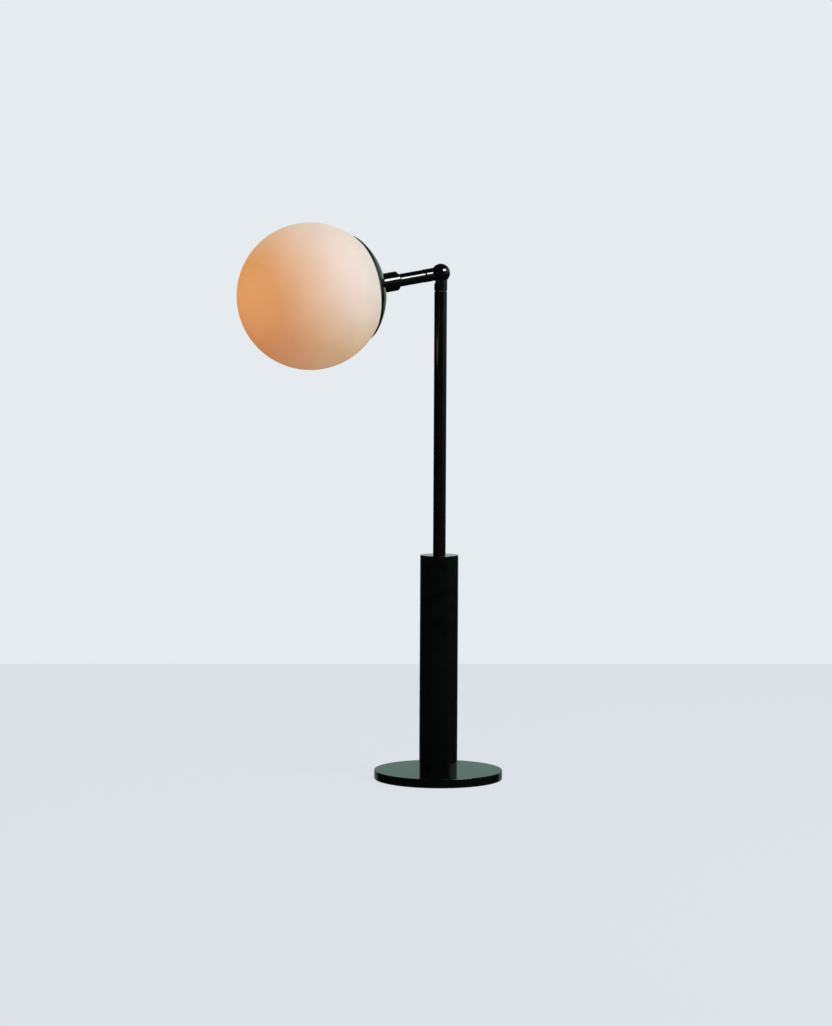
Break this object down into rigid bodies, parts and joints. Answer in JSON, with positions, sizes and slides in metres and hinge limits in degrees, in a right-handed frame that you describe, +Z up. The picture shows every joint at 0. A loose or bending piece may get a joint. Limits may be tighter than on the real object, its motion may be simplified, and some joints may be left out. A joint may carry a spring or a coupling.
{
  "type": "table lamp",
  "caption": "Table lamp with a weighted round base, thick stem, thin pole, ball elbow and an opal glass globe seated in a shallow dish.",
  "frame": {"origin": "centre of the foot, on the surface that the lamp stands on", "axes": "+Z up along the pole; the head points along -X at rest; +Y is the elbow's pivot axis"},
  "size_m": [0.2979, 0.1482, 0.5766],
  "materials": {
    "black_paint": "satin black powder coat",
    "felt": "black felt",
    "zinc_steel": "zinc plated",
    "cast_iron": "as cast",
    "brass": "turned",
    "nickel": "nickel plated",
    "black_rubber": "matt",
    "gasket": "silicone foam",
    "black_plastic": "moulded nylon",
    "white_plastic": "moulded",
    "lead_jacket": "silicone sleeve",
    "opal_glass": "satin opal, lit",
    "opal_bulb": "opal",
    "clear_glass": "clear",
    "porcelain": "glazed white",
    "led_phosphor": "phosphor coat"
  },
  "bodies": {
    "stand": {"felt_pad": "felt", "base_plate": "black_paint", "base_screws": "zinc_steel", "stem_foot": "zinc_steel", "earth_screw": "zinc_steel", "stem_sleeve": "black_paint", "cord_grommet": "black_rubber", "ballast_weight": "cast_iron", "ballast_washer": "zinc_steel", "ballast_nut": "zinc_steel", "centre_rod": "zinc_steel", "pole_tube": "black_paint", "lead_splice": "white_plastic", "stand_lead": "lead_jacket", "swivel_bushing": "brass"},
    "swivel": {"swivel_washer": "black_plastic", "swivel_spigot": "zinc_steel", "spigot_spring": "zinc_steel", "spigot_nut": "zinc_steel", "lower_knuckle": "black_paint", "pivot_screw": "zinc_steel", "pivot_spring": "zinc_steel", "friction_disc": "black_plastic", "stop_pin": "zinc_steel", "knuckle_lead": "lead_jacket"},
    "head": {"arm_knuckle": "black_paint", "arm_nipple": "zinc_steel", "arm_tube": "black_paint", "arm_collar": "black_paint", "socket_nipple": "zinc_steel", "shade_dish": "black_paint", "glass_globe": "opal_glass", "spacer_ring": "zinc_steel", "globe_flange": "zinc_steel", "globe_ring": "white_plastic", "globe_gasket": "gasket", "socket_cap": "white_plastic", "socket_core": "porcelain", "terminal_screws": "zinc_steel", "socket_skirt": "white_plastic", "screw_shell": "brass", "centre_contact": "brass", "bulb_cap": "nickel", "bulb_insulator": "black_plastic", "bulb_contact": "brass", "bulb_glass": "opal_bulb", "led_carrier": "clear_glass", "led_filaments": "led_phosphor", "arm_lead": "lead_jacket"}
  },
  "joints": [
    {"name": "pole_swivel", "type": "hinge", "parent": "stand", "child": "swivel", "pos_m": [0, 0, 0.5084], "axis": [0, 0, 1], "range_deg": [-165, 165]},
    {"name": "elbow_tilt", "type": "hinge", "parent": "swivel", "child": "head", "pos_m": [0, 0, 0.5276], "axis": [0, 1, 0], "range_deg": [-13.7, 98.3]}
  ]
}
